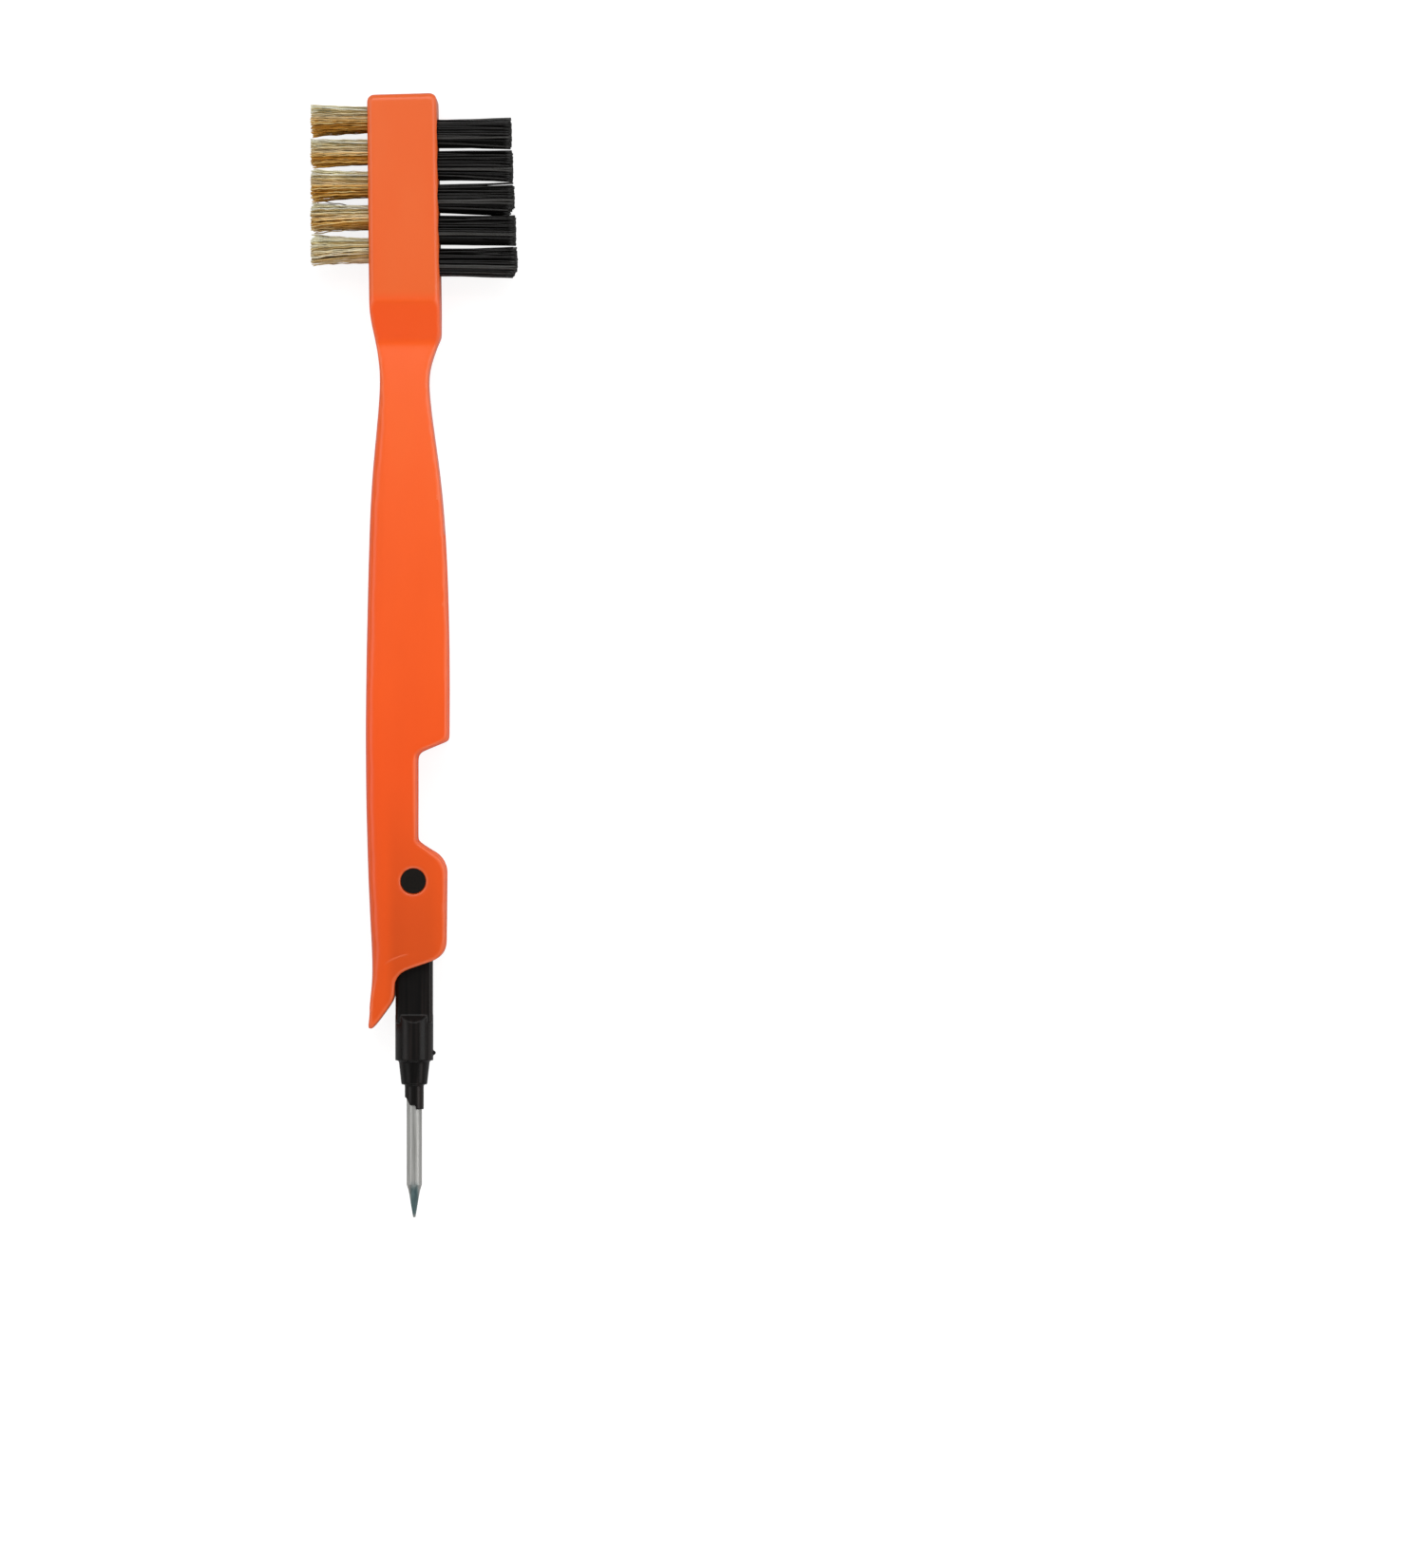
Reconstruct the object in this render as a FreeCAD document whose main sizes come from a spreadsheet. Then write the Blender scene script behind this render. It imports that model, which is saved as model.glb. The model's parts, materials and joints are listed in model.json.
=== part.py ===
import FreeCAD, Part
import math
import os
import Sketcher

from FreeCAD import Rotation, Vector

# Club groove brush, lying flat. X runs across the brush from the brass tufts to the nylon
# tufts, Y runs along it towards the brush head, and Z points up out of the resting face.
# The origin is at the middle of the overall box, on the surface that the brush lies on.

SIZES = [
    # handle, seen from above
    ("overall_length", 212.5, "tip of the needle to the end of the head"),
    ("head_thick", 13.0, "thickness of the head"),
    ("head_left_top", -8.75, "left corner of the head's end"),
    ("head_left_low", -8.34, "left side of the head where the neck starts"),
    ("head_right_top", 4.40, "right corner of the head's end"),
    ("head_right_low", 5.14, "right side of the head where the neck starts"),
    ("head_end_slope", 0.35, "rise of the head's end from left to right"),
    ("head_shoulder", 60.4, "shoulder at the right of the neck"),
    # handle, seen from the side
    ("ramp_start", 66.9, "where the head starts to thin down and to turn into the neck"),
    ("ramp_finish", 59.2, "where the ramp meets the neck"),
    ("belly_place", -12.0, "thickest place of the grip"),
    ("belly_radius", 770.0, "radius of the grip's long crown"),
    # edges of the handle
    ("corner_round", 1.3, "corners of the head's end"),
    ("edge_round", 1.1, "long edges of the head"),
    ("shoulder_round", 0.6, "shoulder at the right of the neck"),
    ("mouth_round", 3.6, "corners of the mouth"),
    ("fang_round", 0.45, "end of the spine"),
    ("notch_round", 1.4, "inner and lower corners of the finger notch"),
    ("notch_lip", 0.7, "upper outer corner of the finger notch"),
    # pick slot and pivot
    ("slot_width", 7.5, "gap between the cheeks"),
    ("slot_floor", -4.1, "bottom of the slot, beside the spine"),
    ("slot_top", 23.0, "closed end of the slot"),
    ("stop_face", -3.6, "face of the spine that stops the open pick"),
    ("stop_top", -57.0, "upper end of the stop face"),
    ("pivot_place", -42.5, "pivot of the pick along the handle"),
    ("rivet_shank", 3.0, "outer diameter of the rivet"),
    ("rivet_core", 1.8, "solid shank inside the rivet"),
    ("rivet_head", 4.7, "diameter of the rivet heads"),
    ("rivet_head_thick", 0.8, "thickness of the rivet heads"),
    ("rivet_flush", 5.8, "outer face of a rivet head from the middle plane"),
    ("rivet_gap", 0.2, "room at the end of the solid shank"),
    # pick
    ("running_gap", 0.05, "radial clearance of the hub on the rivet"),
    ("hub_width", 7.6, "diameter of the pick's hub"),
    ("hub_thick", 7.2, "length of the hub along the pivot"),
    ("bar_width", 7.0, "width of the flat bar"),
    ("bar_thick", 5.0, "thickness of the flat bar"),
    ("bar_round", 0.8, "edges of the flat bar"),
    ("collar_width", 7.2, "diameter of the collar"),
    ("collar_start", 25.4, "start of the ramp to the collar, from the pivot"),
    ("collar_ramp", 1.4, "length of the ramp to the collar"),
    ("collar_finish", 34.05, "end of the collar, from the pivot"),
    ("cone_base", 5.9, "wide end of the stepped cone"),
    ("cone_tip", 4.9, "narrow end of the stepped cone"),
    ("cone_finish", 38.6, "end of the cone, from the pivot"),
    ("nose_width", 3.6, "diameter of the nose tube"),
    ("nose_finish", 43.3, "end of the nose tube, from the pivot"),
    ("needle_width", 2.9, "diameter of the needle"),
    ("needle_root", 30.0, "hidden end of the needle, from the pivot"),
    ("needle_taper", 57.5, "start of the taper, from the pivot"),
    ("needle_end", 0.5, "diameter of the blunt tip"),
    # bristles
    ("tuft_rows", 5, "rows of tufts on each side"),
    ("column_pitch", 5.6, "distance between the upper and lower tufts"),
    ("brass_bottom", -3.3, "bottom of the brass tufts' holes"),
    ("brass_face", -8.6, "side of the head at the brass tufts"),
    ("nylon_bottom", -0.5, "bottom of the nylon tufts' holes"),
    ("nylon_face", 4.8, "side of the head at the nylon tufts"),
    ("brass_hole", 4.6, "diameter of a brass tuft"),
    ("brass_pitch", 6.18, "distance between brass rows"),
    ("brass_first", 101.6, "row nearest to the head's end, brass"),
    ("brass_reach", 19.5, "tips of the brass tufts from the middle"),
    ("brass_flare", 5.3, "width of a brass tuft at its tips"),
    ("nylon_hole", 5.0, "diameter of a nylon tuft"),
    ("nylon_pitch", 6.10, "distance between nylon rows"),
    ("nylon_first", 98.9, "row nearest to the head's end, nylon"),
    ("nylon_reach", 18.4, "tips of the first nylon row from the middle"),
    ("nylon_step", 0.275, "extra reach of each nylon row"),
    ("nylon_flare", 5.5, "width of a nylon tuft at its tips"),
    ("anchor_thick", 0.4, "thickness of the anchor wire"),
    ("anchor_width", 1.6, "width of the anchor wire"),
    ("anchor_bite", 0.5, "how far the anchor's ends bite into the hole's wall"),
    ("anchor_lift", 0.6, "fold of the filaments under the anchor"),
]

doc = FreeCAD.newDocument("groove_brush")
sheet = doc.addObject("Spreadsheet::Sheet", "sizes")
for row, (alias, value, note) in enumerate(SIZES, start=1):
    sheet.set(f"A{row}", alias)
    sheet.set(f"B{row}", str(value))
    sheet.set(f"C{row}", note)
    sheet.setAlias(f"B{row}", alias)
doc.recompute()

PARTS = []


def size(expression):
    """The number that an expression of the sheet's aliases gives."""
    return float(sheet.evalExpression(expression))


def bind(thing, prop, expression):
    """Bind a property to the sheet, with the sheet's name put before every alias."""
    words = [alias for alias, _, _ in SIZES]
    tokens = expression.replace("(", "( ").replace(")", " )").split()
    thing.setExpression(prop, " ".join(f"sizes.{t}" if t in words else t for t in tokens))


def keep(thing, label):
    """Name a finished sub-part, which is also the name of its file."""
    thing.Label = label
    PARTS.append(thing)
    return thing


def new_body(name):
    return doc.addObject("PartDesign::Body", name)


def new_sketch(body, name, plane, offset=None):
    """A sketch on an origin plane of its body, moved along the plane's normal if asked."""
    sketch = body.newObject("Sketcher::SketchObject", name)
    face = next(f for f in body.Origin.OriginFeatures if f.Role == plane)
    sketch.AttachmentSupport = (face, [""])
    sketch.MapMode = "FlatFace"
    if offset:
        bind(sketch, ".AttachmentOffset.Base.z", offset)
    return sketch


def pin_point(sketch, geometry, end, across, along):
    """Hold a point at two distances from the sketch's origin, each a sheet expression."""
    for kind, expression in (("DistanceX", across), ("DistanceY", along)):
        value = size(expression)
        index = sketch.addConstraint(Sketcher.Constraint(kind, -1, 1, geometry, end, value))
        if not is_number(expression):
            bind(sketch, f"Constraints[{index}]", expression)


def is_number(text):
    try:
        float(text)
        return True
    except ValueError:
        return False


def polygon(sketch, points):
    """A closed straight-sided outline whose corners are pairs of sheet expressions."""
    points = [(str(across), str(along)) for across, along in points]
    places = [Vector(size(across), size(along), 0) for across, along in points]
    first = sketch.GeometryCount
    count = len(points)
    for i in range(count):
        sketch.addGeometry(Part.LineSegment(places[i], places[(i + 1) % count]))
    for i in range(count):
        joint = (first + i, 2, first + (i + 1) % count, 1)
        sketch.addConstraint(Sketcher.Constraint("Coincident", *joint))
        pin_point(sketch, first + i, 1, *points[i])


def circle(sketch, across, along, width):
    """A circle with its centre and its diameter as sheet expressions."""
    centre = Vector(size(across), size(along), 0)
    index = sketch.addGeometry(Part.Circle(centre, Vector(0, 0, 1), size(width) / 2))
    pin_point(sketch, index, 3, across, along)
    name = Sketcher.Constraint("Diameter", index, size(width))
    bind(sketch, f"Constraints[{sketch.addConstraint(name)}]", width)


def pad(body, sketch, length):
    """Thicken a sketch evenly to both sides."""
    feature = body.newObject("PartDesign::Pad", f"{sketch.Name}_pad")
    feature.Profile = sketch
    feature.SideType = "Symmetric"
    bind(feature, "Length", length)
    doc.recompute()
    return feature


def pocket(body, sketch, length=None, both=True, reverse=False):
    """Cut a sketch through everything, or by a length to both sides or to one."""
    before = body.Shape.Volume
    feature = body.newObject("PartDesign::Pocket", f"{sketch.Name}_cut")
    feature.Profile = sketch
    feature.SideType = "Symmetric" if both else "One side"
    feature.Reversed = reverse
    if length:
        feature.Type = "Length"
        bind(feature, "Length", length)
    else:
        feature.Type = "ThroughAll"
    doc.recompute()
    if body.Shape.Volume > before - 0.01:
        raise RuntimeError(f"{feature.Name} cuts nothing")
    return feature


def spin(body, sketch, axis):
    """Turn a half profile once round the sketch's H_Axis or V_Axis."""
    feature = body.newObject("PartDesign::Revolution", f"{sketch.Name}_turn")
    feature.Profile = sketch
    feature.ReferenceAxis = (sketch, [axis])
    feature.Angle = 360
    doc.recompute()
    return feature


def round_edges(body, name, radius, wanted):
    """Fillet the edges of the body's present shape that the test picks."""
    tip = body.Tip
    edges = [f"Edge{i}" for i, edge in enumerate(tip.Shape.Edges, start=1) if wanted(edge)]
    if not edges:
        raise RuntimeError(f"{name} finds no edge")
    feature = body.newObject("PartDesign::Fillet", name)
    feature.Base = (tip, edges)
    bind(feature, "Radius", radius)
    doc.recompute()
    return feature


# ---------------------------------------------------------------- handle

def upright_at(*corners):
    """A test for vertical edges that stand at any of the given places."""
    def test(edge):
        box = edge.BoundBox
        if box.XLength > 0.01 or box.YLength > 0.01:
            return False
        return any(math.hypot(box.XMin - x, box.YMin - y) < 0.05 for x, y in corners)
    return test


def freehand(sketch, points, first_slope, last_slope):
    """A smooth curve through a few points, with set directions at its ends."""
    curve = Part.BSplineCurve()
    places = [Vector(x, y, 0) for x, y in points]
    curve.interpolate(Points=places, InitialTangent=Vector(*first_slope, 0),
                      FinalTangent=Vector(*last_slope, 0))
    index = sketch.addGeometry(curve)
    sketch.addConstraint(Sketcher.Constraint("Block", index))
    return index


def way(start, finish):
    """The direction from one point of the plan to another."""
    return (finish[0] - start[0], finish[1] - start[1])


HEAD_END = size("overall_length / 2")
NECK_CORNER = (size("head_right_low"), size("head_shoulder"))
MOUTH_RIGHT = (6.0, -56.8)
MOUTH_LEFT = (size("stop_face"), -60.2)

LEFT_SIDE = [(size("head_left_low"), size("ramp_start")), (-7.98, 63.0), (-7.37, 60.0), (-6.5, 54.2),
             (-6.62, 48.0), (-7.71, 36.1), (-8.62, 14.5), (-9.08, -14.0), (-8.68, -39.5),
             (-8.05, -54.0), (-7.84, -59.5), (-8.02, -63.2), (-8.36, -66.8), (-8.75, -71.3)]
RIGHT_NECK = [NECK_CORNER, (4.10, 57.9), (2.97, 54.1), (2.95, 48.8), (4.59, 36.1), (6.2, 14.5),
              (6.55, -4.0), (6.5, -16.0), (6.33, -28.0), (6.15, -39.8)]
FANG = [(size("stop_face"), -63.6), (-4.5, -66.1), (-6.66, -69.1), (-8.75, -71.3)]


def build_handle():
    body = new_body("handle")
    plan = new_sketch(body, "plan", "XY_Plane", "head_thick / 2")
    rise = size("head_end_slope")
    top_left = (size("head_left_top"), HEAD_END - rise)
    top_right = (size("head_right_top"), HEAD_END)
    straight = [
        (LEFT_SIDE[0], top_left), (top_left, top_right), (top_right, NECK_CORNER),
        (RIGHT_NECK[-1], MOUTH_RIGHT), (MOUTH_RIGHT, MOUTH_LEFT), (MOUTH_LEFT, FANG[0]),
    ]
    for start, finish in straight:
        index = plan.addGeometry(Part.LineSegment(Vector(*start, 0), Vector(*finish, 0)))
        plan.addConstraint(Sketcher.Constraint("Block", index))
    freehand(plan, LEFT_SIDE, way(top_left, LEFT_SIDE[0]), (-0.12, -1.0))
    freehand(plan, RIGHT_NECK, (-1.0, -2.0), way(RIGHT_NECK[-1], MOUTH_RIGHT))
    freehand(plan, FANG, way(MOUTH_LEFT, FANG[0]), (-0.75, -0.6))
    margin = 4
    pad(body, plan, f"head_thick + {margin}")

    side = new_sketch(body, "side", "YZ_Plane")
    half = size("head_thick / 2")
    radius = size("belly_radius")
    belly = size("belly_place")
    far = -HEAD_END
    ramp_top = size("ramp_start")
    ramp_low = size("ramp_finish")
    for up in (1, -1):
        def place(along, height):
            return Vector(along, half + up * height, 0)

        def crown(along):
            return half - radius + math.sqrt(radius ** 2 - (along - belly) ** 2)

        clear = half + margin
        corners = [place(ramp_low, crown(ramp_low)), place(ramp_top, half),
                   place(HEAD_END + 5, half), place(HEAD_END + 5, clear),
                   place(far, clear), place(far, crown(far))]
        for start, finish in zip(corners, corners[1:]):
            index = side.addGeometry(Part.LineSegment(start, finish))
            side.addConstraint(Sketcher.Constraint("Block", index))
        arc = Part.Arc(corners[-1], place(belly, half), corners[0])
        side.addConstraint(Sketcher.Constraint("Block", side.addGeometry(arc)))
    pocket(body, side)
    corners = upright_at(top_left, top_right)
    round_edges(body, "head_corners", "corner_round", corners)
    round_edges(body, "long_edges", "edge_round", is_head_end_edge)
    round_edges(body, "shoulder", "shoulder_round", upright_at(NECK_CORNER))
    round_edges(body, "mouth", "mouth_round", upright_at(MOUTH_RIGHT, MOUTH_LEFT))
    round_edges(body, "fang", "fang_round", upright_at(FANG[-1]))
    cut_notch(body)
    cut_slot(body)
    cut_pivot_seat(body)
    cut_bristle_holes(body, "brass", outward=-1)
    cut_bristle_holes(body, "nylon", outward=1)
    return body


def is_head_end_edge(edge):
    """The two rims of the head's end; the rounding runs on down the head's sides by itself."""
    box = edge.BoundBox
    flat = box.ZLength < 0.01
    return flat and box.YMin > HEAD_END - 1 and 8 < box.XLength < 12


def cut_notch(body):
    """The finger notch in the right side, through both cheeks."""
    sketch = new_sketch(body, "notch", "XY_Plane", "head_thick / 2")
    outside = 9.0
    top, inner, end = (outside, -14.9), (0.61, -18.4), (0.61, -35.0)
    below = (outside, -41.6)
    curve = [end, (2.4, -36.2), (4.4, -37.4), (5.45, -38.6), (6.45, -41.6)]
    corners = [curve[-1], below, top, inner, end]
    for start, finish in zip(corners, corners[1:]):
        index = sketch.addGeometry(Part.LineSegment(Vector(*start, 0), Vector(*finish, 0)))
        sketch.addConstraint(Sketcher.Constraint("Block", index))
    freehand(sketch, curve, (1.0, -0.5), (0.25, -1.0))
    pocket(body, sketch)
    round_edges(body, "notch_inner", "notch_round", upright_at(inner))
    round_edges(body, "notch_upper", "notch_lip", upright_between((5.5, -17.0), (7.0, -15.0)))
    round_edges(body, "notch_lower", "notch_round", upright_between((5.5, -42.0), (7.0, -39.0)))


def upright_between(low, high):
    """A test for vertical edges that stand inside a rectangle of the plan."""
    def test(edge):
        box = edge.BoundBox
        upright = box.XLength < 0.01 and box.YLength < 0.01
        return upright and low[0] < box.XMin < high[0] and low[1] < box.YMin < high[1]
    return test


def cut_slot(body):
    """The slot that takes the folded pick, open to the right and at the mouth."""
    sketch = new_sketch(body, "slot", "XY_Plane", "head_thick / 2")
    outside, past_end = 10, -80
    polygon(sketch, [
        ("slot_floor", "slot_top"), (outside, "slot_top"), (outside, past_end),
        ("stop_face", past_end), ("stop_face", "stop_top"), ("slot_floor", "stop_top"),
    ])
    pocket(body, sketch, "slot_width")


def cut_pivot_seat(body):
    """The bore through both cheeks and the two round seats of the rivet heads."""
    bore = new_sketch(body, "rivet_bore", "XY_Plane", "head_thick / 2")
    circle(bore, "0", "pivot_place", "rivet_shank")
    pocket(body, bore)
    for side, up in (("upper", True), ("lower", False)):
        sign = "+" if up else "-"
        seat = new_sketch(body, f"{side}_seat", "XY_Plane",
                          f"head_thick / 2 {sign} ( rivet_flush - rivet_head_thick )")
        circle(seat, "0", "pivot_place", "rivet_head")
        pocket(body, seat, "head_thick", both=False, reverse=up)


def cut_bristle_holes(body, kind, outward):
    """Two columns of blind holes in one side of the head, with slits for the anchors."""
    sign = "+" if outward > 0 else "-"
    column = {"upper": "head_thick / 2 + column_pitch / 2", "lower": "head_thick / 2 - column_pitch / 2"}
    holes = new_sketch(body, f"{kind}_holes", "YZ_Plane", f"{kind}_bottom")
    slits = new_sketch(body, f"{kind}_slits", "YZ_Plane", f"{kind}_bottom {sign} anchor_lift")
    reach = f"( {kind}_hole / 2 + anchor_bite )"
    for height in column.values():
        circle(holes, f"{kind}_first", height, f"{kind}_hole")
        low, high = f"{height} - anchor_thick / 2", f"{height} + anchor_thick / 2"
        near, far = f"{kind}_first - {reach}", f"{kind}_first + {reach}"
        polygon(slits, [(near, low), (far, low), (far, high), (near, high)])
    cuts = [pocket(body, holes, "head_thick", both=False, reverse=outward > 0),
            pocket(body, slits, "anchor_width", both=False, reverse=outward > 0)]
    rows = body.newObject("PartDesign::LinearPattern", f"{kind}_rows")
    rows.Originals = cuts
    rows.Direction = (holes, ["H_Axis"])
    rows.Reversed = True
    bind(rows, "Length", f"{kind}_pitch * ( tuft_rows - 1 )")
    bind(rows, "Occurrences", "tuft_rows")
    body.Tip = rows
    doc.recompute()


# ---------------------------------------------------------------- pick

def place_at_pivot(body):
    """The pick's pieces are drawn round the pivot and placed on it."""
    bind(body, "Placement.Base.y", "pivot_place")
    bind(body, "Placement.Base.z", "head_thick / 2")


def build_pick_holder():
    body = new_body("pick_holder")
    bar = new_sketch(body, "bar", "XY_Plane")
    half = "bar_width / 2"
    into_collar = "0 - collar_start - collar_ramp"
    polygon(bar, [(f"0 - {half}", "0"), (f"0 - {half}", into_collar), (half, into_collar), (half, "0")])
    pad(body, bar, "bar_thick")
    round_edges(body, "bar_edges", "bar_round", lambda edge: edge.BoundBox.YLength > 10)
    hub = new_sketch(body, "hub", "XY_Plane")
    circle(hub, "0", "0", "hub_width")
    pad(body, hub, "hub_thick")

    turned = new_sketch(body, "turned", "XY_Plane")
    polygon(turned, [
        ("0", "0 - collar_start"), ("collar_width / 2", "0 - collar_start"),
        ("collar_width / 2", "0 - collar_finish"), ("cone_base / 2", "0 - collar_finish"),
        ("cone_tip / 2", "0 - cone_finish"), ("nose_width / 2", "0 - cone_finish"),
        ("nose_width / 2", "0 - nose_finish"), ("needle_width / 2", "0 - nose_finish"),
        ("needle_width / 2", "0 - needle_root"), ("0", "0 - needle_root"),
    ])
    spin(body, turned, "V_Axis")

    ramps = new_sketch(body, "ramps", "YZ_Plane")
    for sign in ("", "0 - "):
        inner, outer = f"{sign}bar_thick / 2", f"{sign}collar_width / 2"
        polygon(ramps, [("0 - collar_start", inner), ("0 - collar_start - collar_ramp", outer),
                        ("0 - collar_start + 1", outer), ("0 - collar_start + 1", inner)])
    pocket(body, ramps)

    bore = new_sketch(body, "hub_bore", "XY_Plane")
    circle(bore, "0", "0", "rivet_shank + 2 * running_gap")
    pocket(body, bore)

    nose = new_sketch(body, "nose_end", "XY_Plane")
    outside, beyond = -3, "0 - nose_finish - 1"
    polygon(nose, [(outside, "0 - nose_finish + 2.2"), (-1.5, "0 - nose_finish + 2.2"),
                   (-0.8, "0 - nose_finish + 0.8"), (0.3, "0 - nose_finish + 0.7"),
                   (0.6, beyond), (outside, beyond)])
    pocket(body, nose)
    place_at_pivot(body)
    return body


def build_pick_needle():
    body = new_body("pick_needle")
    shank = new_sketch(body, "shank", "XY_Plane")
    end = "pivot_place + overall_length / 2"
    polygon(shank, [
        ("0", "0 - needle_root"), ("needle_width / 2", "0 - needle_root"),
        ("needle_width / 2", "0 - needle_taper"), ("needle_end / 2", f"0 - ( {end} )"),
        ("0", f"0 - ( {end} )"),
    ])
    spin(body, shank, "V_Axis")
    place_at_pivot(body)
    return body


# ---------------------------------------------------------------- pivot rivet

def build_rivet_half(name, points):
    """Half of the two-piece rivet, turned about Z from its half section."""
    body = new_body(name)
    section = new_sketch(body, f"{name}_section", "XZ_Plane")
    polygon(section, points)
    spin(body, section, "V_Axis")
    place_at_pivot(body)
    return body


SEAT = "( rivet_flush - rivet_head_thick )"


def build_pivot_pin():
    """Lower head with the solid shank."""
    return build_rivet_half("pivot_pin", [
        ("0", "0 - rivet_flush"), ("rivet_head / 2", "0 - rivet_flush"),
        ("rivet_head / 2", f"0 - {SEAT}"), ("rivet_core / 2", f"0 - {SEAT}"),
        ("rivet_core / 2", f"{SEAT} - rivet_gap"), ("0", f"{SEAT} - rivet_gap"),
    ])


def build_pivot_cap():
    """Upper head with the hollow shank that the pin is pressed into."""
    return build_rivet_half("pivot_cap", [
        ("0", "rivet_flush"), ("rivet_head / 2", "rivet_flush"),
        ("rivet_head / 2", SEAT), ("rivet_shank / 2", SEAT),
        ("rivet_shank / 2", f"0 - {SEAT}"), ("rivet_core / 2", f"0 - {SEAT}"),
        ("rivet_core / 2", SEAT), ("0", SEAT),
    ])


# ---------------------------------------------------------------- bristles

def row_place(kind, row):
    return f"{kind}_first - {row} * {kind}_pitch"


def column_height(column):
    return f"head_thick / 2 {'+' if column == 'upper' else '-'} column_pitch / 2"


def build_tuft(kind, row, column, outward):
    """One bundle of filaments from the bottom of its hole to its flared tips."""
    name = f"{kind}_tuft_{row + 1}_{column}"
    body = new_body(name)
    reach = "brass_reach" if kind == "brass" else f"( nylon_reach + {row} * nylon_step )"
    bottom, face = f"{kind}_bottom", f"{kind}_face"
    if outward > 0:
        free, root = f"{reach} - {bottom}", f"{face} - {bottom}"
    else:
        free, root = f"{reach} + {bottom}", f"{bottom} - {face}"
    outline = new_sketch(body, f"{name}_outline", "XY_Plane")
    polygon(outline, [("0", "0"), ("0", f"{kind}_hole / 2"), (root, f"{kind}_hole / 2"),
                      (free, f"{kind}_flare / 2"), (free, "0")])
    spin(body, outline, "H_Axis")
    slit = new_sketch(body, f"{name}_slit", "XY_Plane")
    side = f"{kind}_hole / 2 + anchor_bite"
    near, far = "anchor_lift", "anchor_lift + anchor_width"
    polygon(slit, [(near, f"0 - ( {side} )"), (far, f"0 - ( {side} )"), (far, side), (near, side)])
    pocket(body, slit, "anchor_thick")
    if outward < 0:
        body.Placement.Rotation = Rotation(Vector(0, 0, 1), 180)
    bind(body, "Placement.Base.x", bottom)
    bind(body, "Placement.Base.y", row_place(kind, row))
    bind(body, "Placement.Base.z", column_height(column))
    return keep(body, name)


def build_anchor(kind, row, column, outward):
    """The flat wire that holds a folded tuft at the bottom of its hole."""
    name = f"{kind}_anchor_{row + 1}_{column}"
    box = doc.addObject("Part::Box", name)
    bind(box, "Length", "anchor_width")
    bind(box, "Width", f"{kind}_hole + 2 * anchor_bite")
    bind(box, "Height", "anchor_thick")
    start = f"{kind}_bottom + anchor_lift" if outward > 0 else f"{kind}_bottom - anchor_lift - anchor_width"
    bind(box, "Placement.Base.x", start)
    bind(box, "Placement.Base.y", f"{row_place(kind, row)} - {kind}_hole / 2 - anchor_bite")
    bind(box, "Placement.Base.z", f"{column_height(column)} - anchor_thick / 2")
    return keep(box, name)


# ---------------------------------------------------------------- assembly

keep(build_handle(), "handle")
keep(build_pick_holder(), "pick_holder")
keep(build_pick_needle(), "pick_needle")
keep(build_pivot_pin(), "pivot_pin")
keep(build_pivot_cap(), "pivot_cap")
for kind, outward in (("brass", -1), ("nylon", 1)):
    for row in range(int(size("tuft_rows"))):
        for column in ("upper", "lower"):
            build_tuft(kind, row, column, outward)
            build_anchor(kind, row, column, outward)
doc.recompute()

for thing in doc.Objects:
    if any(word in thing.State for word in ("Invalid", "Error")):
        raise RuntimeError(f"{thing.Name} failed: {thing.State}")

os.makedirs("parts", exist_ok=True)
for thing in PARTS:
    shape = thing.Shape
    if shape.isNull() or not shape.isValid():
        raise RuntimeError(f"{thing.Label} has no valid shape")
    shape.exportStep(f"parts/{thing.Label}.step")
    print(thing.Label, round(shape.Volume, 2), shape.BoundBox)
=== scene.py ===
import json
import math
import random

import bpy
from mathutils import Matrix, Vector


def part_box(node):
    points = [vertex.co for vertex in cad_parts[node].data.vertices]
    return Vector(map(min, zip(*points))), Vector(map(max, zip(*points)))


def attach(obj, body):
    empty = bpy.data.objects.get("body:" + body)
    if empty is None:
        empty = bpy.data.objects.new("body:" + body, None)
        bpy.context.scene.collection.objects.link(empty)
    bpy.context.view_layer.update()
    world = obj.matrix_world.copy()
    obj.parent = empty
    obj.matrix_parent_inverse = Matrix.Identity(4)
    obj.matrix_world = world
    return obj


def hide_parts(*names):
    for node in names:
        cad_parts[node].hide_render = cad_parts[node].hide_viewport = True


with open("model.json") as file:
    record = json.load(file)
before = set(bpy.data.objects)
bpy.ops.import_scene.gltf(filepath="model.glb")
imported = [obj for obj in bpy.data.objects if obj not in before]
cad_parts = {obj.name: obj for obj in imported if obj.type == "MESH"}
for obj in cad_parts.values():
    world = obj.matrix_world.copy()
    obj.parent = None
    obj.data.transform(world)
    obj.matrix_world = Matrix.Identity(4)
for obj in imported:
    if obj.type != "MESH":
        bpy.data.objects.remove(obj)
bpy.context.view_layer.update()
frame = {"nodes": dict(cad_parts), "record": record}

# Club groove brush. X runs from the brass tufts to the nylon tufts, Y towards the brush head,
# Z up from the table that the brush lies on. Everything is in metres.

MM = 0.001
ROWS = range(1, 6)
COLUMNS = ("upper", "lower")
PICK_FOLD = next(j for j in frame["record"]["behaviour"]["joints"] if j["name"] == "pick_fold")
MIDDLE_Z = PICK_FOLD["pos_m"][2]
WHITE = (1.0, 1.0, 1.0)


# ---------------------------------------------------------------- materials

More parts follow.
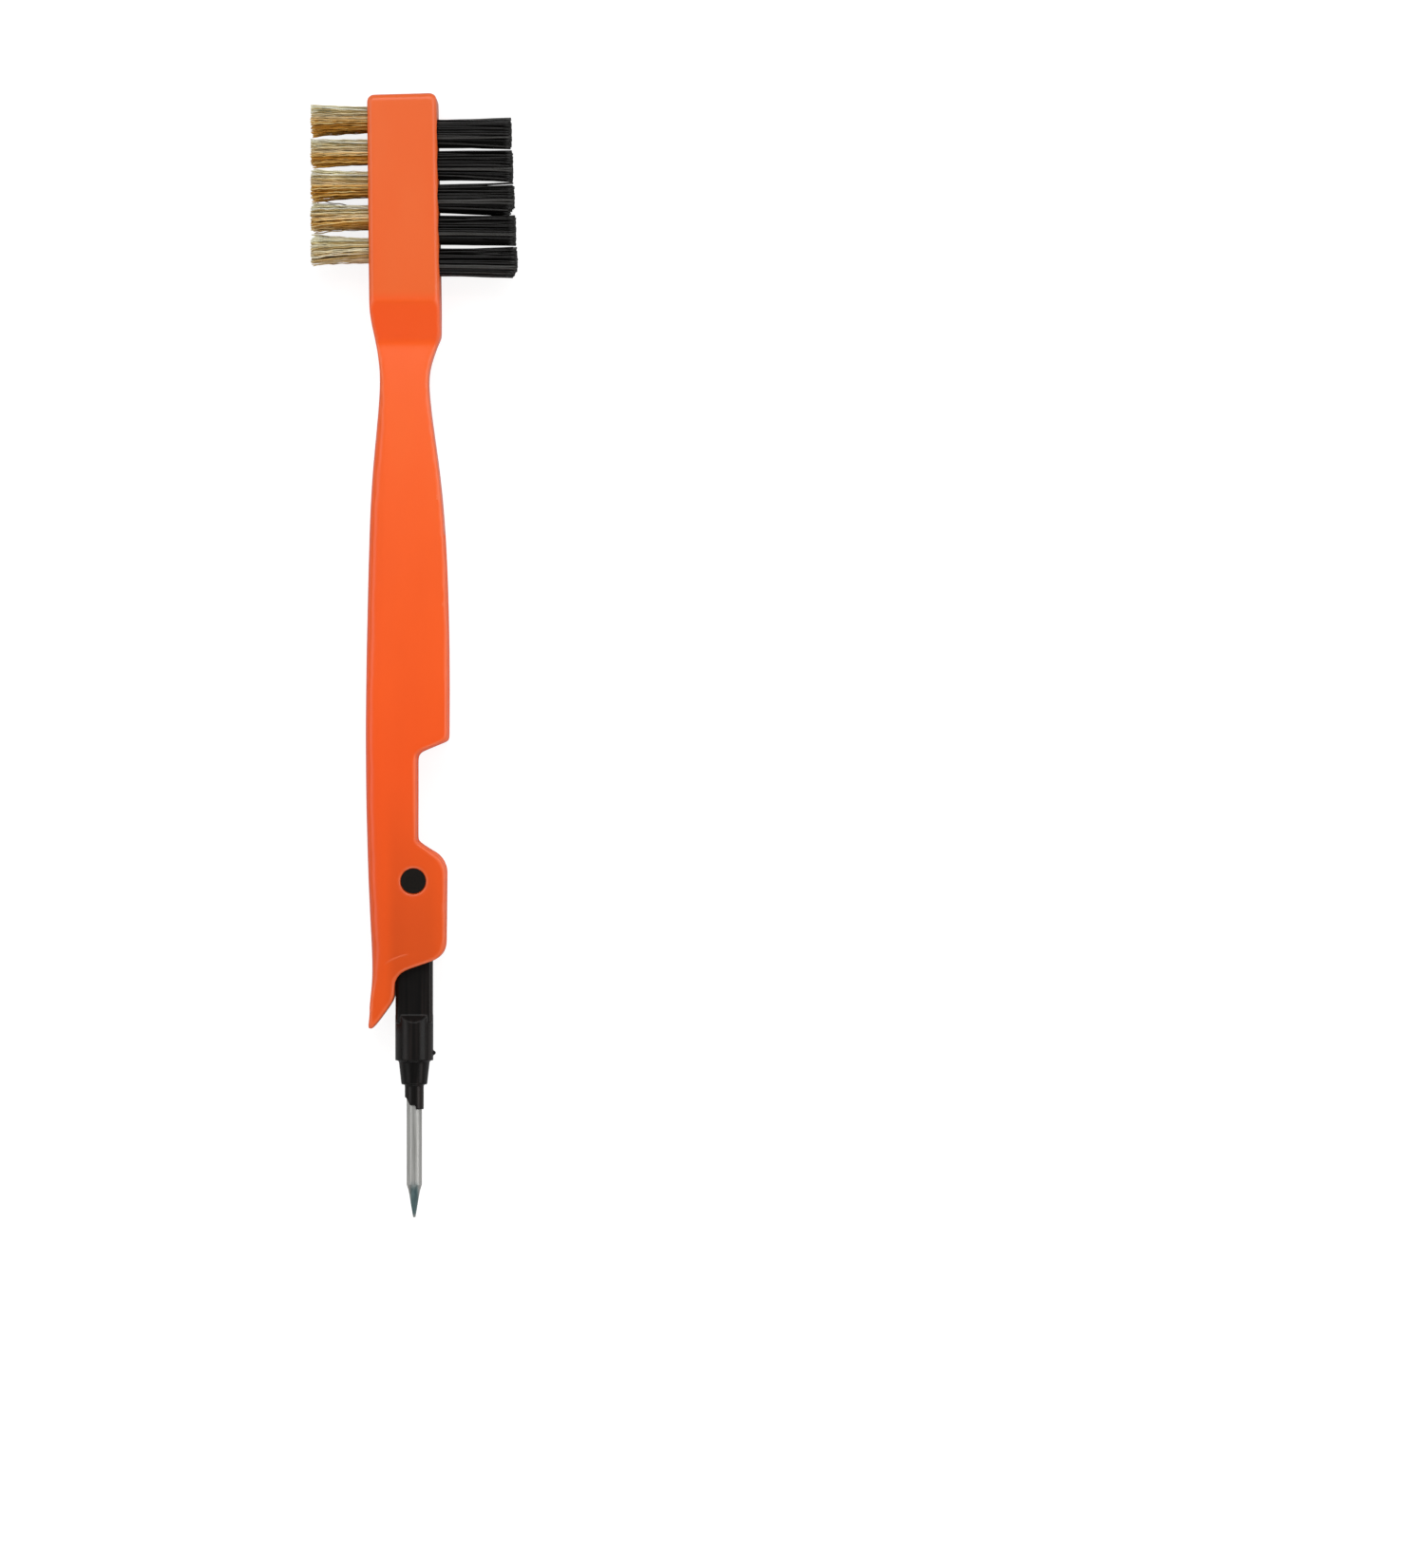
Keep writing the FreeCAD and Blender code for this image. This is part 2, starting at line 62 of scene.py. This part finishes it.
class Material:
    """A principled material, with a few short calls for its procedural nodes."""

    def __init__(self, name, **sockets):
        self.made = bpy.data.materials.new(name)
        self.made.use_nodes = True
        self.tree = self.made.node_tree
        self.shader = self.tree.nodes["Principled BSDF"]
        for socket, value in sockets.items():
            self.feed(value, self.shader.inputs[socket.replace("_", " ")])

    def link(self, source, target):
        self.tree.links.new(source, target)

    def feed(self, value, socket):
        """A number, a colour or another node's output, given to a socket."""
        if isinstance(value, (int, float)):
            socket.default_value = value
        elif isinstance(value, tuple):
            socket.default_value = (*value, 1)
        else:
            self.link(value, socket)

    def node(self, kind, **settings):
        """A node with its sockets, or its own settings, given by name."""
        node = self.tree.nodes.new(kind)
        for key, value in settings.items():
            socket = key.replace("_", " ")
            if socket in node.inputs:
                self.feed(value, node.inputs[socket])
            else:
                setattr(node, key, value)
        return node

    def place(self, stretch=(1, 1, 1)):
        """Object coordinates, scaled along each axis."""
        mapping = self.node("ShaderNodeMapping")
        mapping.inputs["Scale"].default_value = stretch
        self.link(self.node("ShaderNodeTexCoord").outputs["Object"], mapping.inputs["Vector"])
        return mapping.outputs["Vector"]

    def noise(self, scale, detail=3, stretch=(1, 1, 1)):
        noise = self.node("ShaderNodeTexNoise", Scale=scale, Detail=detail)
        self.link(self.place(stretch), noise.inputs["Vector"])
        return noise.outputs["Fac"]

    def ramp(self, factor, stops):
        """Colours along a factor; stops are (position, colour)."""
        ramp = self.node("ShaderNodeValToRGB")
        elements = ramp.color_ramp.elements
        while len(elements) < len(stops):
            elements.new(0.5)
        for element, (position, colour) in zip(elements, stops):
            element.position = position
            element.color = (*colour, 1)
        self.link(factor, ramp.inputs["Fac"])
        return ramp.outputs["Color"]

    def blend(self, factor, first, second, kind="MIX"):
        """Two colours mixed. The node's colour sockets come after its number and vector ones."""
        mix = self.node("ShaderNodeMix", data_type="RGBA", blend_type=kind)
        for index, value in ((0, factor), (6, first), (7, second)):
            self.feed(value, mix.inputs[index])
        return mix.outputs[2]

    def spread(self, factor, low, high):
        """The factor taken from 0..1 to low..high."""
        return self.node("ShaderNodeMapRange", Value=factor, To_Min=low, To_Max=high).outputs["Result"]

    def between(self, factor, start, finish, curve="SMOOTHSTEP"):
        """0 where the factor is at start and 1 where it is at finish."""
        between = self.node("ShaderNodeMapRange", interpolation_type=curve, Value=factor,
                            From_Min=start, From_Max=finish)
        return between.outputs["Result"]

    def fade(self, axis, start, finish, kind="Object", curve="SMOOTHSTEP"):
        """0 at start and 1 at finish along an axis of the object's or the generated coordinates."""
        split = self.node("ShaderNodeSeparateXYZ")
        self.link(self.node("ShaderNodeTexCoord").outputs[kind], split.inputs["Vector"])
        return self.between(split.outputs[axis], start, finish, curve)

    def product(self, *factors):
        result = factors[0]
        for factor in factors[1:]:
            times = self.node("ShaderNodeMath", operation="MULTIPLY")
            self.link(result, times.inputs[0])
            self.link(factor, times.inputs[1])
            result = times.outputs["Value"]
        return result

    def colour(self, output):
        self.link(output, self.shader.inputs["Base Color"])

    def roughness(self, output):
        self.link(output, self.shader.inputs["Roughness"])

    def bump(self, *layers):
        """Bumps laid over each other; layers are (height output, distance in metres)."""
        below = None
        for height, distance in layers:
            bump = self.node("ShaderNodeBump", Strength=1.0, Distance=distance, Height=height)
            if below:
                self.link(below, bump.inputs["Normal"])
            below = bump.outputs["Normal"]
        self.link(below, self.shader.inputs["Normal"])


def orange_plastic():
    """Moulded orange plastic: faint flow marks, a fine skin, painted highlights on the rims and light
    scratches.

    The colour deepens from the head to the mouth as painted shade, with a painted sheen on the head.
    It is deeper on the ramp below the head and on the cheeks beside the slot, both painted shade.
    """
    m = Material("orange_plastic", Coat_Weight=0.3, Coat_Roughness=0.12, Specular_IOR_Level=0.36)
    along = m.fade("Y", -71 * MM, 106 * MM, curve="LINEAR")
    # Painted shade and sheen along the handle: darker at the grip's end and on the sloping ramp, paler
    # on the head.
    shade_and_sheen_along = m.ramp(along, [
        (0.06, (0.86, 0.092, 0.002)),
        (0.28, (1.0, 0.098, 0.002)),
        (0.62, (1.0, 0.116, 0.005)),
        (0.73, (1.0, 0.118, 0.007)),
        (0.74, (1.0, 0.095, 0.003)),
        (0.775, (1.0, 0.095, 0.003)),
        (0.79, (0.89, 0.120, 0.012)),
        (1.0, (0.87, 0.132, 0.019)),
    ])
    flow = m.ramp(m.noise(55, detail=4, stretch=(1, 0.35, 1)),
                  [(0.30, (0.95, 0.90, 0.75)), (0.55, WHITE), (0.72, (1.0, 1.08, 1.3))])
    # Painted shade: the cheeks beside the slot are darkened, less towards the right edge.
    below_notch = m.fade("Y", -20 * MM, -54 * MM)
    right_of_spine = m.fade("X", -5.8 * MM, -3.0 * MM)
    less_at_right = m.spread(m.fade("X", 2.5 * MM, 6.0 * MM), 1.0, 0.4)
    cheek_shade_mask = m.product(below_notch, right_of_spine, less_at_right)
    cheek_shade_colour = (0.84, 0.83, 0.5)
    body = m.blend(cheek_shade_mask, m.blend(1.0, shade_and_sheen_along, flow, "MULTIPLY"), cheek_shade_colour, "MULTIPLY")
    # Painted highlights: the sharp rims are painted a paler orange, more faintly on the head.
    rims = m.between(m.node("ShaderNodeNewGeometry").outputs["Pointiness"], 0.508, 0.530)
    rim_highlight_share = m.product(rims, m.spread(m.fade("Y", 72 * MM, 60 * MM), 0.18, 0.40))
    painted_highlight_colour = m.ramp(along, [(0.0, (1.0, 0.21, 0.07)), (1.0, (1.0, 0.25, 0.12))])
    crease = mouth_crease(m)
    # Painted highlight: the crease beside the mouth is painted a quarter of the way towards the pale
    # highlight colour.
    m.colour(m.blend(m.spread(crease, 0.0, 0.25), m.blend(rim_highlight_share, body, painted_highlight_colour), painted_highlight_colour))
    skin = m.noise(2600, detail=2)
    waves = m.noise(140, stretch=(1, 0.3, 1))
    scratches = m.noise(900, detail=2, stretch=(1, 0.04, 1))
    m.roughness(m.spread(waves, 0.34, 0.46))
    m.bump((waves, 0.00010), (crease, 0.00006), (scratches, 0.000012), (skin, 0.000010))
    return m.made


def mouth_crease(m):
    """1 on a short curved crease that the mould left beside the mouth of the slot, 0 elsewhere."""
    centre = (0.6 * MM, -66.5 * MM, 0)
    radius = 10.2 * MM
    half_width = 0.28 * MM
    away = m.node("ShaderNodeVectorMath", operation="DISTANCE")
    m.link(m.place((1, 1, 0)), away.inputs[0])
    away.inputs[1].default_value = centre
    inner_side = m.between(away.outputs["Value"], radius - half_width, radius)
    outer_side = m.between(away.outputs["Value"], radius + half_width, radius)
    left_end = m.fade("X", -5.9 * MM, -4.2 * MM)
    right_end = m.fade("X", -0.6 * MM, -1.8 * MM)
    return m.product(inner_side, outer_side, left_end, right_end)


def black_gloss():
    """Glossy black moulding with faint sink marks and drawing lines along the mould."""
    m = Material("black_gloss", Specular_IOR_Level=0.2)
    lines = m.noise(900, stretch=(1, 0.02, 1))
    m.colour(m.ramp(lines, [
        (0.42, (0.0025, 0.0022, 0.0020)),
        (0.55, (0.0060, 0.0050, 0.0046)),
        (0.66, (0.017, 0.012, 0.011)),
    ]))
    m.roughness(m.spread(m.noise(500), 0.26, 0.38))
    sinks = m.noise(420, detail=2, stretch=(1, 0.15, 1))
    m.bump((sinks, 0.00006), (m.noise(3500, detail=1), 0.000006))
    return m.made


def rivet_black():
    """Matte black rivet with a fine spark-eroded face."""
    m = Material("rivet_black_matte", Specular_IOR_Level=0.15)
    grain = m.noise(2200)
    m.colour(m.ramp(grain, [(0.35, (0.004, 0.003, 0.002)), (0.7, (0.009, 0.006, 0.004))]))
    m.roughness(m.spread(grain, 0.55, 0.75))
    m.bump((grain, 0.00003))
    return m.made


def needle_steel():
    """Ground steel with lines along the needle and a bluish heat tint on the point, kept off the
    point's sides as a painted reflection.
    """
    m = Material("needle_ground_steel", Metallic=1.0)
    lines = m.noise(2400, stretch=(1, 0.02, 1))
    steel = m.ramp(lines, [
        (0.34, (0.38, 0.38, 0.36)),
        (0.50, (0.50, 0.50, 0.48)),
        (0.66, (0.60, 0.60, 0.58)),
    ])
    teal = m.ramp(lines, [(0.3, (0.07, 0.14, 0.15)), (0.7, (0.15, 0.24, 0.25))])
    on_point = m.product(m.fade("Y", -98.8 * MM, -101.5 * MM), m.fade("Y", -106.4 * MM, -105.2 * MM))
    # Painted reflection: the tint is kept to the middle of the point, so its sides stay light.
    dark_middle_reflection = m.product(m.fade("X", -0.95 * MM, -0.45 * MM), m.fade("X", 1.05 * MM, 0.55 * MM))
    m.colour(m.blend(m.spread(m.product(on_point, dark_middle_reflection), 0.0, 0.92), steel, teal))
    m.roughness(m.spread(lines, 0.44, 0.56))
    m.bump((m.noise(1100, detail=1, stretch=(1, 0.02, 1)), 0.000006))
    return m.made


def filament_colour(m, stops):
    """Each filament gets its own colour, and changes a little along its length."""
    own = m.ramp(m.node("ShaderNodeNewGeometry").outputs["Random Per Island"], stops)
    drift = m.ramp(m.noise(260), [(0.3, (0.66, 0.64, 0.60)), (0.7, WHITE)])
    return m.blend(1.0, own, drift, "MULTIPLY")


def brass_wire():
    """Dull brass wire, with painted light on the side of each tuft towards the head's end: pale straw.

    Painted shade makes the side towards the grip golden, less so in the last row.
    """
    m = Material("brass_filament", Metallic=0.2, Specular_IOR_Level=0.4)
    # Painted light: the lit side of each tuft is pale straw.
    straw = filament_colour(m, [
        (0.0, (0.32, 0.20, 0.07)),
        (0.15, (0.60, 0.44, 0.18)),
        (0.35, (0.92, 0.82, 0.46)),
        (0.65, (1.0, 0.98, 0.72)),
        (1.0, (1.0, 1.0, 0.88)),
    ])
    # Painted shade: the shaded side of each tuft is a deeper golden.
    golden = filament_colour(m, [
        (0.0, (0.26, 0.10, 0.01)),
        (0.15, (0.60, 0.26, 0.02)),
        (0.40, (0.90, 0.41, 0.045)),
        (0.7, (1.0, 0.58, 0.12)),
        (1.0, (1.0, 0.80, 0.36)),
    ])
    shaded_side = m.fade("Y", 0.78, 0.32, kind="Generated")
    less_shade_in_last_row = m.spread(m.fade("Y", 82 * MM, 79 * MM), 1.0, 0.3)
    m.colour(m.blend(m.product(shaded_side, less_shade_in_last_row), straw, golden))
    m.roughness(m.spread(m.noise(1800, detail=2), 0.30, 0.50))
    return m.made


def black_nylon():
    """Black nylon filament, a few strands painted pale grey as highlights."""
    m = Material("nylon_filament", Specular_IOR_Level=0.3)
    # Painted highlights: the palest strands stand for light streaks along the filaments.
    m.colour(filament_colour(m, [
        (0.0, (0.003, 0.0026, 0.0023)),
        (0.6, (0.005, 0.0042, 0.0038)),
        (0.8, (0.014, 0.013, 0.012)),
        (0.9, (0.045, 0.044, 0.042)),
        (1.0, (0.10, 0.10, 0.098)),
    ]))
    m.roughness(m.spread(m.noise(1500, detail=2), 0.24, 0.36))
    return m.made


def anchor_steel():
    """Drawn steel wire, with lines along it."""
    m = Material("anchor_drawn_steel", Metallic=1.0)
    lines = m.noise(1500, detail=2, stretch=(1, 0.1, 1))
    m.colour(m.ramp(lines, [(0.3, (0.40, 0.40, 0.40)), (0.7, (0.56, 0.56, 0.55))]))
    m.roughness(m.spread(lines, 0.3, 0.45))
    m.bump((lines, 0.00001))
    return m.made


# ---------------------------------------------------------------- mesh helpers

def add_object(name, data):
    made = bpy.data.objects.new(name, data)
    bpy.context.scene.collection.objects.link(made)
    return made


def add_mesh(name, points, faces):
    mesh = bpy.data.meshes.new(name)
    mesh.from_pydata(points, [], faces)
    return add_object(name, mesh)


def copy_of(name, node, *extra):
    """A copy of a CAD node, with extra (points, faces) added to it."""
    source = frame["nodes"][node].data
    points = [v.co.copy() for v in source.vertices]
    faces = [tuple(p.vertices) for p in source.polygons]
    for more_points, more_faces in extra:
        faces += [tuple(i + len(points) for i in face) for face in more_faces]
        points += more_points
    return add_mesh(name, points, faces)


def apply_modifiers(made):
    graph = bpy.context.evaluated_depsgraph_get()
    mesh = bpy.data.meshes.new_from_object(made.evaluated_get(graph))
    made.modifiers.clear()
    made.data = mesh


def remesh(made, grid):
    """Rebuild an object's mesh on a grid."""
    modifier = made.modifiers.new("remesh", "REMESH")
    modifier.mode = "VOXEL"
    modifier.voxel_size = grid
    apply_modifiers(made)


def smooth(made, passes, share=None):
    """Smooth an object, all over or only by the share that share(place) gives each of its points."""
    modifier = made.modifiers.new("smooth", "SMOOTH")
    modifier.factor = 0.5
    modifier.iterations = passes
    if share:
        group = made.vertex_groups.new(name="share")
        for vertex in made.data.vertices:
            weight = share(vertex.co)
            if weight > 0:
                group.add([vertex.index], weight, "REPLACE")
        modifier.vertex_group = group.name
    apply_modifiers(made)
    made.vertex_groups.clear()


def paint(made, material):
    made.data.materials.clear()
    made.data.materials.append(material)


def dress(made, material, body, node):
    """Material, body and the CAD node that the piece stands for."""
    paint(made, material)
    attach(made, body)
    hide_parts(node)


def ball(centre, radius):
    """Points and faces of a small sphere."""
    steps = 12
    points = [centre + Vector((0, 0, radius)), centre - Vector((0, 0, radius))]
    faces = []
    for i in range(1, steps):
        polar = math.pi * i / steps
        ring, level = math.sin(polar), math.cos(polar)
        for j in range(steps):
            turn = 2 * math.pi * j / steps
            offset = Vector((ring * math.cos(turn), ring * math.sin(turn), level))
            points.append(centre + radius * offset)
    last = 2 + (steps - 2) * steps
    for j in range(steps):
        after = (j + 1) % steps
        faces.append((0, 2 + j, 2 + after))
        faces.append((1, last + after, last + j))
        for i in range(steps - 2):
            a, b = 2 + i * steps, 2 + (i + 1) * steps
            faces.append((a + j, b + j, b + after, a + after))
    return points, faces


def tube_faces(start, rings, sides):
    """Faces of a closed tube, whose rings of points are numbered from start."""
    faces = []
    for i in range(rings - 1):
        a, b = start + i * sides, start + (i + 1) * sides
        for k in range(sides):
            after = (k + 1) % sides
            faces.append((a + k, a + after, b + after, b + k))
    last = start + (rings - 1) * sides
    faces.append(tuple(start + k for k in reversed(range(sides))))
    faces.append(tuple(last + k for k in range(sides)))
    return faces


# ---------------------------------------------------------------- handle and pick

def clipped(number):
    return min(max(number, 0.0), 1.0)


def grip_share(place):
    """Full rounding on the grip and none on the head, whose edges are round already."""
    return 1 - clipped((place.y - 60 * MM) / (8 * MM))


def spine_share(place):
    """Extra rounding of the long left edge of the grip, fading out at its ends."""
    side = clipped((-5.0 * MM - place.x) / (1.8 * MM))
    upper_end = clipped((56 * MM - place.y) / (14 * MM))
    lower_end = clipped((place.y + 64 * MM) / (8 * MM))
    return side * upper_end * lower_end


def build_handle(material):
    """The CAD handle with its edges rounded, first on a fine grid and then on the final one."""
    fine_grid, final_grid = 0.20 * MM, 0.37 * MM
    handle = copy_of("handle_moulding", "handle")
    remesh(handle, fine_grid)
    smooth(handle, 28, grip_share)
    remesh(handle, final_grid)
    smooth(handle, 1)
    smooth(handle, 160, spine_share)
    handle.data.shade_smooth()
    dress(handle, material, "handle", "handle")


def build_pick_holder(material):
    """The CAD holder with its edges softened, and a small nub of plastic on the collar's side."""
    nub = ball(Vector((3.70 * MM, -75.1 * MM, MIDDLE_Z)), 0.42 * MM)
    holder = copy_of("pick_holder_moulding", "pick_holder", nub)
    remesh(holder, 0.16 * MM)
    smooth(holder, 3)
    holder.data.shade_smooth()
    dress(holder, material, "pick", "pick_holder")


def faceted(turn, sides, depth):
    """Reach of a unit circle that is ground towards a polygon: a depth of 1 gives flat sides."""
    half = math.pi / sides
    return 1 - depth + depth * math.cos(half) / math.cos(turn % (2 * half) - half)


def build_needle(material):
    """Ground needle: a faintly twelve-sided shaft that turns four-sided along its point."""
    low, high = (Vector(corner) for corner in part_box("pick_needle"))
    centre_x, centre_z = (low.x + high.x) / 2, (low.z + high.z) / 2
    shaft_radius, tip_radius = (high.x - low.x) / 2, 0.26 * MM
    point_length = 6.2 * MM
    point_start = low.y + point_length
    steps, around = 24, 96
    places = [high.y, (high.y + point_start) / 2, point_start + 0.1 * MM]
    places += [point_start - point_length * i / steps for i in range(steps + 1)]
    points = []
    for along in places:
        down = clipped((point_start - along) / point_length)
        radius = shaft_radius + (tip_radius - shaft_radius) * down
        squareness = clipped(down * 3)
        for j in range(around):
            turn = 2 * math.pi * j / around
            shaft = faceted(turn + 0.09, sides=12, depth=0.4)
            point = faceted(turn + 0.55, sides=4, depth=0.75)
            reach = radius * (shaft * (1 - squareness) + point * squareness)
            x, z = centre_x + reach * math.cos(turn), centre_z + reach * math.sin(turn)
            points.append((x, along, z))
    needle = add_mesh("needle_ground", points, tube_faces(0, len(places), around))
    needle.data.shade_smooth()
    needle.data.set_sharp_from_angle(angle=math.radians(12))
    dress(needle, material, "pick", "pick_needle")


# ---------------------------------------------------------------- bristles

BRASS = dict(
    slot="brass_wire",
    outward=-1,                                       # side of the head that they stand on
    face=-8.5 * MM,                                   # just inside the head's side, where they spread
    sunk=1.6 * MM,                                    # how far inside that place they begin
    count=190,                                        # filaments in a tuft
    thick=0.21 * MM,
    sides=4,
    steps=14,
    radius=2.2 * MM,                                  # of the tuft in its hole
    flare=1.16,                                       # growth of that radius towards the tips
    wave=0.07 * MM,
    pitch=3.2 * MM,
    wander=0.34 * MM,                                 # how far a filament's tip strays
    lean=0.30 * MM,                                   # how far all the tips of a tuft stray
    droop={1: 0.35 * MM, 2: 0.12 * MM, 3: 0.2 * MM},  # lean of a row's tips towards the grip
    strays=0.07,                                      # share of loose filaments
    uneven=0.42 * MM,                                 # of the ends
    clipped_rows=(),                                  # cut shorter on the side towards the grip
)
NYLON = dict(
    slot="black_nylon",
    outward=1,
    face=4.7 * MM,
    sunk=1.6 * MM,
    count=84,
    thick=0.40 * MM,
    sides=6,
    steps=8,
    radius=2.47 * MM,
    flare=1.11,
    wave=0.02 * MM,
    pitch=9.0 * MM,
    wander=0.16 * MM,
    lean=0.12 * MM,
    droop={},
    strays=0.05,
    uneven=0.12 * MM,
    clipped_rows=(3, 5),
)
STRAY_WANDER = 3.2     # how much further the tip of a loose filament strays
CLIP_START = -0.45     # place across a clipped tuft, from -1 to 1, below which it is cut shorter
CLIP_SLOPE = 1.9 * MM  # how much shorter for each radius beyond that place
BEND_POWER = 1.6       # growth of a filament's bend towards its tip


def spot_in_disc(index, count, jitter=0.04):
    """An even spread over the unit disc, with a little disorder."""
    golden = math.pi * (3 - math.sqrt(5))
    reach, turn = math.sqrt((index + 0.5) / count), index * golden
    across = reach * math.cos(turn) + random.gauss(0, jitter)
    up = reach * math.sin(turn) + random.gauss(0, jitter)
    return across, up


def filament_line(kind, row, index, centre, tip_x, lean):
    """Points along one filament of a tuft, from inside the head to its tip."""
    outward, face_x, radius = kind["outward"], kind["face"], kind["radius"]
    root_x = face_x - outward * kind["sunk"]
    across, up = spot_in_disc(index, kind["count"])
    stray = random.random() < kind["strays"]
    flare = kind["flare"] * random.uniform(0.8, 1.12)
    wander = kind["wander"] * (STRAY_WANDER if stray else 1.0)
    aside_y, aside_z = [random.gauss(0, wander) + shared for shared in lean]
    short = abs(random.gauss(0, kind["uneven"]))
    if row in kind["clipped_rows"]:
        short += CLIP_SLOPE * max(CLIP_START - across, 0)
    end_x = tip_x - outward * short
    if stray:
        end_x += outward * random.uniform(-1.2, 0.1) * MM
    phase_y, phase_z, *_ = [random.uniform(0, 2 * math.pi) for _ in range(4)]
    wave = kind["wave"] * random.uniform(0.5, 1.5)
    pitch = kind["pitch"] * random.uniform(0.8, 1.25)
    line = []
    for step in range(kind["steps"] + 1):
        part = step / kind["steps"]
        x = root_x + (end_x - root_x) * part
        free = max(0.0, (x - face_x) / (tip_x - face_x))
        grow = 1 + (flare - 1) * free
        bend = free ** BEND_POWER
        swing = wave * min(1, free * 4)
        y = centre.y + radius * across * grow + aside_y * bend
        z = centre.z + radius * up * grow + aside_z * bend
        y += swing * math.sin(2 * math.pi * x / pitch + phase_y)
        z += swing * math.sin(2 * math.pi * x / pitch + phase_z)
        line.append((x, y, max(z, kind["thick"])))
    return line


def build_tuft(name, node, kind, row, material):
    """A bundle of separate filaments in the place of one CAD tuft."""
    low, high = (Vector(corner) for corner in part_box(node))
    centre = (low + high) / 2
    tip_x = high.x if kind["outward"] > 0 else low.x
    lean_y = random.gauss(0, kind["lean"]) - kind["droop"].get(row, 0.0)
    lean_z = random.gauss(0, kind["lean"] * 0.5)
    sides = kind["sides"]
    points, faces = [], []
    for index in range(kind["count"]):
        line = filament_line(kind, row, index, centre, tip_x, (lean_y, lean_z))
        radius = kind["thick"] / 2 * random.uniform(0.85, 1.1)
        first_turn = random.uniform(0, math.pi)
        faces += tube_faces(len(points), len(line), sides)
        for x, y, z in line:
            for k in range(sides):
                turn = first_turn + 2 * math.pi * k / sides
                points.append((x, y + radius * math.cos(turn), z + radius * math.sin(turn)))
    tuft = add_mesh(name, points, faces)
    tuft.data.shade_smooth()
    dress(tuft, material, "handle", node)


def build_bristles(brass, nylon):
    random.seed(20)
    for name, kind, material in (("brass", BRASS, brass), ("nylon", NYLON, nylon)):
        for row in ROWS:
            for column in COLUMNS:
                place = f"{row}_{column}"
                build_tuft(f"{name}_bristles_{place}", f"{name}_tuft_{place}", kind, row, material)


def finish_cad_nodes(rivet, anchor):
    """Materials for the nodes that are shown as they come: both rivet halves and the anchors."""
    for name, made in frame["nodes"].items():
        if name in ("pivot_pin", "pivot_cap"):
            paint(made, rivet)
        elif "anchor" in name:
            paint(made, anchor)


# ---------------------------------------------------------------- stage

def split_rays(tree, lit, seen, surface):
    """A surface that shows the camera one shader, seen, and all other light another, lit."""
    path = tree.nodes.new("ShaderNodeLightPath")
    mix = tree.nodes.new("ShaderNodeMixShader")
    tree.links.new(path.outputs["Is Camera Ray"], mix.inputs["Fac"])
    tree.links.new(lit, mix.inputs[1])
    tree.links.new(seen, mix.inputs[2])
    tree.links.new(mix.outputs["Shader"], surface)


def build_floor():
    """A white table. The camera sees it glow, fully so away from the brush, so no horizon shows."""
    half = 3.0
    corners = [(-half, -half, 0), (half, -half, 0), (half, half, 0), (-half, half, 0)]
    floor = add_mesh("floor", corners, [(0, 1, 2, 3)])
    floor.location.z = -0.02 * MM
    m = Material("white_table", Base_Color=(0.62, 0.62, 0.62), Roughness=0.9)
    away = m.node("ShaderNodeVectorMath", operation="LENGTH")
    m.link(m.place(), away.inputs[0])
    glow = m.spread(m.between(away.outputs["Value"], 0.16, 0.7), 0.86, 1.0)
    seen = m.node("ShaderNodeBsdfPrincipled", Base_Color=(0.26, 0.26, 0.26), Roughness=0.9,
                  Emission_Color=WHITE, Emission_Strength=glow)
    surface = m.tree.nodes["Material Output"].inputs["Surface"]
    split_rays(m.tree, m.shader.outputs["BSDF"], seen.outputs["BSDF"], surface)
    paint(floor, m.made)


def area_light(name, place, aim, size, power):
    data = bpy.data.lights.new(name, "AREA")
    data.shape = "RECTANGLE"
    data.size, data.size_y = size
    data.energy = power
    lamp = add_object(name, data)
    lamp.location = place
    lamp.rotation_euler = (Vector(aim) - Vector(place)).to_track_quat("-Z", "Y").to_euler()
    lamp.visible_camera = False


def build_lights():
    """Soft boxes on three sides of the brush and a broad one above, beyond the head."""
    area_light("left_box", (-0.57, 0.10, 0.42), aim=(0, 0.04, 0), size=(0.7, 0.36), power=1.4)
    area_light("right_box", (0.57, 0.10, 0.42), aim=(0, 0.04, 0), size=(0.7, 0.36), power=1.9)
    area_light("near_box", (0.0, -0.70, 0.34), aim=(0, -0.04, 0), size=(0.7, 0.30), power=1.3)
    area_light("far_box", (0.02, 0.60, 0.88), aim=(0.02, 0.06, 0), size=(0.9, 0.62), power=4.9)


def build_world():
    """A white surround that gives a weak, even light."""
    world = bpy.data.worlds.new("studio")
    bpy.context.scene.world = world
    world.use_nodes = True
    nodes = world.node_tree.nodes
    soft, seen = nodes["Background"], nodes.new("ShaderNodeBackground")
    for background, strength in ((soft, 0.24), (seen, 1.0)):
        background.inputs["Color"].default_value = (*WHITE, 1)
        background.inputs["Strength"].default_value = strength
    surface = nodes["World Output"].inputs["Surface"]
    split_rays(world.node_tree, soft.outputs["Background"], seen.outputs["Background"], surface)


def build_camera():
    """Straight above, with the brush towards the left of the frame."""
    frame_height = 0.297
    centre_x, centre_y = 0.0565, -0.0242
    distance = 1.5
    data = bpy.data.cameras.new("camera")
    data.sensor_width = 36.0
    data.lens = data.sensor_width * distance / frame_height
    camera = add_object("camera", data)
    camera.location = (centre_x, centre_y, MIDDLE_Z + distance)
    bpy.context.scene.camera = camera


# ---------------------------------------------------------------- assembly

build_camera()
build_lights()
build_world()
build_floor()
build_handle(orange_plastic())
build_pick_holder(black_gloss())
build_needle(needle_steel())
build_bristles(brass_wire(), black_nylon())
finish_cad_nodes(rivet_black(), anchor_steel())
bpy.context.scene.view_settings.view_transform = "Standard"
